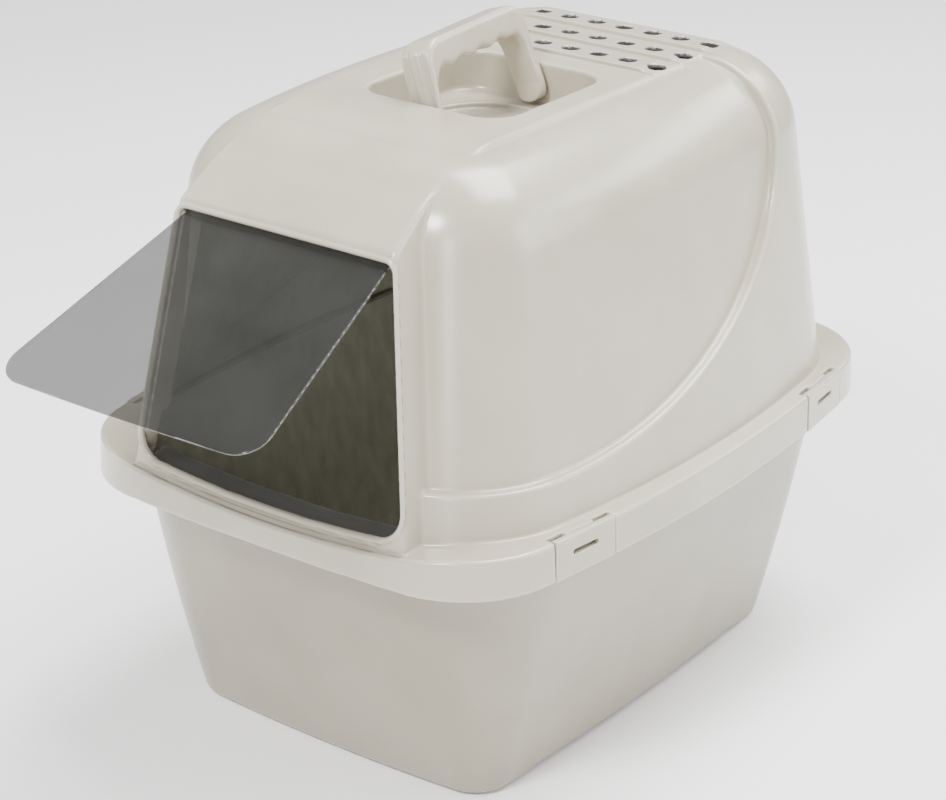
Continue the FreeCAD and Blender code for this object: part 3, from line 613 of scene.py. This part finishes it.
def ramp(tree, source, stops):
    """Colour between two stops, each a position and a colour."""
    node = tree.nodes.new("ShaderNodeValToRGB")
    node.color_ramp.elements[0].position, node.color_ramp.elements[1].position = stops[0][0], stops[-1][0]
    node.color_ramp.elements[0].color = (*stops[0][1], 1)
    node.color_ramp.elements[1].color = (*stops[-1][1], 1)
    tree.links.new(source, node.inputs["Fac"])
    return node.outputs["Color"]


def spread(tree, source, low, high):
    """Value spread over a range."""
    node = tree.nodes.new("ShaderNodeMapRange")
    node.inputs["To Min"].default_value = low
    node.inputs["To Max"].default_value = high
    tree.links.new(source, node.inputs["Value"])
    return node.outputs["Result"]


def bump(tree, source, strength, distance):
    node = tree.nodes.new("ShaderNodeBump")
    node.inputs["Strength"].default_value = strength
    node.inputs["Distance"].default_value = distance
    tree.links.new(source, node.inputs["Height"])
    return node.outputs["Normal"]


def moulded_plastic(name, dark, light, rough, coat=0.25, edge=0.04):
    """Pearly satin plastic: faint cloudy colour, soft gloss, paler rubbed edges."""
    material, tree, shader = new_material(name)
    cloud = ramp(tree, noise(tree, 14.0, 5.0), [(0.35, dark), (0.65, light)])
    geometry = tree.nodes.new("ShaderNodeNewGeometry")
    worn = spread(tree, geometry.outputs["Pointiness"], 0.0, 1.0)
    worn.node.inputs["From Min"].default_value = 0.505
    worn.node.inputs["From Max"].default_value = 0.56
    mix = tree.nodes.new("ShaderNodeMix")
    mix.data_type = "RGBA"
    mix.inputs["B"].default_value = (*[min(1, c + edge) for c in light], 1)
    tree.links.new(worn, mix.inputs["Factor"])
    tree.links.new(cloud, mix.inputs["A"])
    tree.links.new(mix.outputs["Result"], shader.inputs["Base Color"])
    gloss = spread(tree, noise(tree, 60.0, 3.0), rough - 0.03, rough + 0.04)
    tree.links.new(gloss, shader.inputs["Roughness"])
    tree.links.new(bump(tree, noise(tree, 900.0, 2.0), 0.06, 0.0002), shader.inputs["Normal"])
    shader.inputs["Coat Weight"].default_value = coat
    shader.inputs["Coat Roughness"].default_value = 0.22
    shader.inputs["IOR"].default_value = 1.48
    return material


def painted_cabin_shade_plastic():
    """Dull inner face, coloured green-grey as painted shade for the inside of the cabin, with faint
    mottling, drawn out upwards, left by the mould.
    """
    material, tree, shader = new_material("hood_inner_painted_shade")
    streaks = noise(tree, 110.0, 6.0, (1, 1, 0.4))
    colour = ramp(tree, streaks, [(0.3, (0.54, 0.536, 0.45)), (0.7, (0.65, 0.645, 0.55))])
    tree.links.new(colour, shader.inputs["Base Color"])
    tree.links.new(spread(tree, noise(tree, 90.0), 0.5, 0.62), shader.inputs["Roughness"])
    tree.links.new(bump(tree, streaks, 0.15, 0.0006), shader.inputs["Normal"])
    return material


def smoke_plastic(name, dark, light, alpha):
    """Smoke-tinted clear sheet, a little hazed."""
    material, tree, shader = new_material(name)
    haze = noise(tree, 22.0, 4.0)
    tree.links.new(ramp(tree, haze, [(0.3, dark), (0.7, light)]), shader.inputs["Base Color"])
    tree.links.new(spread(tree, noise(tree, 70.0), 0.16, 0.24), shader.inputs["Roughness"])
    tree.links.new(bump(tree, noise(tree, 18.0, 1.0), 0.03, 0.0003), shader.inputs["Normal"])
    shader.inputs["Alpha"].default_value = alpha
    shader.inputs["IOR"].default_value = 1.5
    shader.inputs["Specular IOR Level"].default_value = 0.35
    return material


def felt():
    """Dark felt of the odour filter."""
    material, tree, shader = new_material("carbon_felt")
    fibres = noise(tree, 700.0, 6.0, (1, 1, 0.3))
    colour = ramp(tree, fibres, [(0.3, (0.02, 0.02, 0.022)), (0.75, (0.08, 0.08, 0.085))])
    tree.links.new(colour, shader.inputs["Base Color"])
    tree.links.new(spread(tree, fibres, 0.85, 1.0), shader.inputs["Roughness"])
    tree.links.new(bump(tree, fibres, 0.7, 0.0008), shader.inputs["Normal"])
    return material


def assign(obj, *materials):
    obj.data.materials.clear()
    for material in materials:
        obj.data.materials.append(material)


def face_vectors(obj, key):
    """The centre or the normal of every face of an object, as x, y and z."""
    values = np.zeros(len(obj.data.polygons) * 3)
    obj.data.polygons.foreach_get(key, values)
    return values.reshape(-1, 3).T


def set_face_materials(obj, indices):
    obj.data.polygons.foreach_set("material_index", indices.astype(np.int32))


def hood_face_materials():
    """Painted shade material on the faces that look into the cabin, and a near-black painted shadow on the
    shaded faces behind the sill and on the vent holes' walls.
    """
    x, y, z = face_vectors(hood, "center") / MM
    from_doorway = doorway(x, z, 0.0)
    enclosed = (hood_solid(x, y, z) < -WALL + 0.3) & (z > SHELF - 12)
    enclosed &= ~((y < -200) & (from_doorway < 7.0))
    shaded = (y - bay_front(z) > 2.6) & (y < -205) & (from_doorway < 11) & (np.abs(x) < LEDGE_HALF + 4)
    shaded &= (z < SHELF + 11) & (z > SHELF - 13)
    # the vent holes' walls get the painted shadow too, so the holes read dark
    for hole_x, hole_y in VENT_HOLES:
        shaded |= (np.hypot(x - hole_x, y - hole_y) < VENT_RADIUS + 0.5) & (z > VENT_LOW)
    return np.where(shaded, 2, enclosed)


def pan_face_materials():
    """Painted shade material on the walls that face the pan's middle, and on its floor."""
    x, y, z = face_vectors(pan, "center") / MM
    nx, ny, nz = face_vectors(pan, "normal")
    inward = (nx * x / PAN_LIP_SIZE[0] + ny * y / PAN_LIP_SIZE[1] < 0) & (z < PAN_TOP - 0.8)
    return inward | ((nz > 0.5) & (z < 60.0))


def door_face_materials():
    """Painted highlight: a paler material on the sheet's narrow edge."""
    across_sheet = np.array(swing.to_3x3() @ Vector((0, 1, 0)))
    return np.abs(across_sheet @ face_vectors(door, "normal")) < 0.4


hood_plastic = moulded_plastic("hood_pearl", (0.385, 0.352, 0.272), (0.425, 0.39, 0.308), 0.25, coat=0.5)
# Painted shade: the pan gets a darker copy of the hood's pearl plastic, which stands for the shade on the
# lower tub.
pan_painted_shade_pearl = moulded_plastic("pan_pearl_painted_shade", (0.272, 0.245, 0.186), (0.302, 0.275, 0.213), 0.32, coat=0.25)
# Painted shade: the faces inside the hood and the pan get a green-grey colour of their own that stands for
# the shade inside.
cabin_painted_shade = painted_cabin_shade_plastic()
smoke = smoke_plastic("smoke_sheet", (0.02, 0.02, 0.019), (0.03, 0.03, 0.028), 0.62)
# Painted highlight: the sheet's rim gets a paler smoke that stands for the light caught along its edge.
smoke_painted_highlight = smoke_plastic("smoke_sheet_painted_highlight", (0.17, 0.17, 0.165), (0.22, 0.22, 0.21), 0.7)
# Painted shadow: near-black plastic for the shaded faces behind the sill and in the vent holes.
painted_shadow_plastic = moulded_plastic("ledge_painted_shadow", (0.06, 0.06, 0.056), (0.078, 0.078, 0.073), 0.4, coat=0.1)
cover_plastic = moulded_plastic("cover_satin", (0.42, 0.40, 0.36), (0.46, 0.44, 0.40), 0.5, coat=0.0)

assign(hood, hood_plastic, cabin_painted_shade, painted_shadow_plastic)
set_face_materials(hood, hood_face_materials())
assign(pan, pan_painted_shade_pearl, cabin_painted_shade)
set_face_materials(pan, pan_face_materials())
assign(door, smoke, smoke_painted_highlight)
set_face_materials(door, door_face_materials())
assign(handle, hood_plastic)
for tab in latches:
    assign(tab, hood_plastic)
assign(frame["nodes"]["filter_cover"], cover_plastic)
assign(frame["nodes"]["filter_pad"], felt())


# ------------------------------------------------------------------ the frame

def stand_for(obj, body, node):
    """Let an object ride on a body, in place of one of its nodes."""
    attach(obj, body)
    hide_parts(node)


stand_for(hood, "hood", "hood_shell")
stand_for(pan, "pan", "litter_pan")
stand_for(door, "door", "entry_door")
stand_for(handle, "handle", "carry_handle")
for tab, (node, _) in zip(latches, LATCHES):
    stand_for(tab, latch_body(node), node)


# ----------------------------------------------------- floor, light and camera

# metres from here on
FLOOR = 6.0
floor_mesh = bpy.data.meshes.new("floor")
floor_mesh.from_pydata(
    [(-FLOOR, -FLOOR, 0), (FLOOR, -FLOOR, 0), (FLOOR, FLOOR, 0), (-FLOOR, FLOOR, 0)], [], [(0, 1, 2, 3)])
floor = bpy.data.objects.new("floor", floor_mesh)
bpy.context.scene.collection.objects.link(floor)
paper, _, paper_shader = new_material("pale_floor")
paper_shader.inputs["Base Color"].default_value = (0.9, 0.9, 0.9, 1)
paper_shader.inputs["Roughness"].default_value = 0.9
assign(floor, paper)


def softbox(name, location, target, size, power):
    """Rectangular light aimed at a point."""
    light = bpy.data.lights.new(name, "AREA")
    light.shape = "RECTANGLE"
    light.size, light.size_y = size
    light.energy = power
    obj = bpy.data.objects.new(name, light)
    obj.location = location
    obj.rotation_euler = (Vector(target) - Vector(location)).to_track_quat("-Z", "Y").to_euler()
    bpy.context.scene.collection.objects.link(obj)


softbox("key", (0.1, -1.9, 2.2), (0, 0, 0.2), (0.6, 0.6), 84)
softbox("front_strip", (1.0, -2.1, 0.9), (0, 0, 0.3), (0.35, 1.5), 20)
softbox("left_strip", (-1.6, -0.9, 0.9), (0, 0, 0.25), (0.4, 1.5), 16)
softbox("right_fill", (2.1, 0.8, 0.9), (0, 0, 0.25), (1.0, 1.4), 26)
softbox("overhead", (0.3, 0.7, 2.3), (0, 0, 0.3), (1.6, 1.2), 122)
softbox("rear_edge", (0.9, 1.9, 1.5), (0.1, 0, 0.35), (2.0, 0.5), 26)

world = bpy.data.worlds.new("studio")
bpy.context.scene.world = world
world.use_nodes = True
world.node_tree.nodes["Background"].inputs["Color"].default_value = (1, 1, 1, 1)
world.node_tree.nodes["Background"].inputs["Strength"].default_value = 0.62

AZIMUTH, ELEVATION = math.radians(37.2), math.radians(23.6)
CAMERA_PLACE = (1.0377, -1.385, 0.9494)
right = Vector((math.cos(AZIMUTH), math.sin(AZIMUTH), 0))
forward = Vector((
    -math.sin(AZIMUTH) * math.cos(ELEVATION), math.cos(AZIMUTH) * math.cos(ELEVATION), -math.sin(ELEVATION),
))
up = right.cross(forward)
camera_data = bpy.data.cameras.new("camera")
camera_data.lens = 103.06
camera = bpy.data.objects.new("camera", camera_data)
matrix = Matrix.Identity(4)
for row in range(3):
    matrix[row][0], matrix[row][1], matrix[row][2], matrix[row][3] = (
        right[row], up[row], -forward[row], CAMERA_PLACE[row],
    )
camera.matrix_world = matrix
bpy.context.scene.collection.objects.link(camera)
bpy.context.scene.camera = camera
